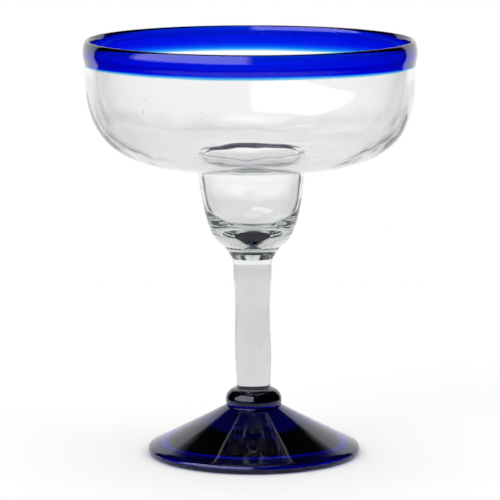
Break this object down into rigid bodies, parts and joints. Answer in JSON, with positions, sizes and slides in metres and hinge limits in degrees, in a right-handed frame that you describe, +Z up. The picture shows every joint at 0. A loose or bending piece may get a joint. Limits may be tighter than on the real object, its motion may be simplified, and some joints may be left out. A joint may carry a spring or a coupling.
{
  "type": "margarita glass",
  "caption": "Hand-blown stemmed glass with a wide clear bowl stepping down into a small cup, a cobalt lip, a solid clear stem, and a cobalt knob and hollow cone foot.",
  "frame": {"origin": "on the axis of the glass, in the plane that the foot rests on", "axes": "+Z up along the axis, from the foot to the lip"},
  "size_m": [0.1328, 0.1328, 0.1669],
  "materials": {
    "clear_glass": "clear blown soda-lime glass, glossy, faintly grey-green, with a few seeds",
    "cobalt_lip": "cobalt blue glass, glossy, thinning to cyan at its lower edge",
    "cobalt_foot": "thick cobalt blue glass, glossy, near black where it is deep"
  },
  "bodies": {
    "root": {"foot": "cobalt_foot", "foot_knob": "cobalt_foot", "stem": "clear_glass", "bowl": "clear_glass", "rim_wrap": "cobalt_lip"}
  },
  "joints": []
}
